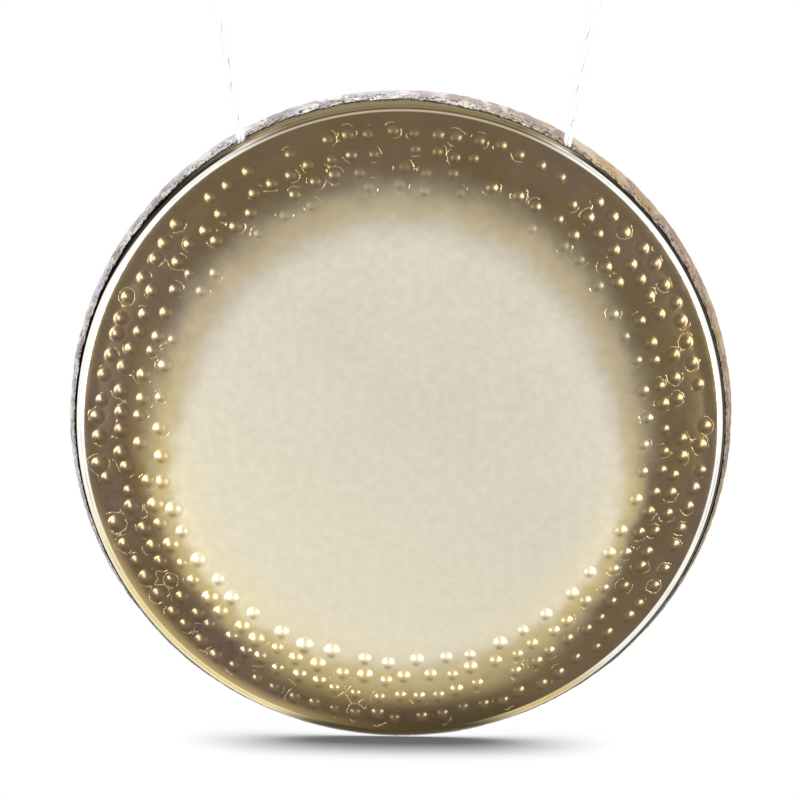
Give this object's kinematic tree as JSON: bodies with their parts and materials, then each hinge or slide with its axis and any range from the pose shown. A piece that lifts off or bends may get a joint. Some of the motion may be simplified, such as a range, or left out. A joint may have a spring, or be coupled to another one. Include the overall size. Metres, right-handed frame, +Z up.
{
  "type": "tam tam gong",
  "caption": "Hammered bronze tam tam with a flat satin middle, a dimpled band and a bent-back rim, hung from S-hooks by doubled cords.",
  "frame": {"origin": "on the axis of the crossbar that the two hooks hang on, halfway between the hooks", "axes": "+X along the crossbar, +Z up; the gong's face looks towards -Y"},
  "size_m": [0.6, 0.0696, 0.7938],
  "materials": {
    "bronze": "satin champagne middle, glossy olive-brown hammered band, polished bend and rough dark rim",
    "white_cord": "white braided nylon",
    "hook_steel": "satin"
  },
  "bodies": {
    "hooks": {"left_hook": "hook_steel", "right_hook": "hook_steel"},
    "cords": {"left_cord": "white_cord", "right_cord": "white_cord"},
    "gong": {"gong": "bronze", "left_knot": "white_cord", "right_knot": "white_cord"}
  },
  "joints": [
    {"name": "cord_swing", "type": "hinge", "parent": "hooks", "child": "cords", "pos_m": [0, 0, -0.06], "axis": [1, 0, 0], "range_deg": [-30, 30]},
    {"name": "gong_tilt", "type": "hinge", "parent": "cords", "child": "gong", "pos_m": [0, 0, -0.22273], "axis": [1, 0, 0], "range_deg": [-15, 15]}
  ]
}
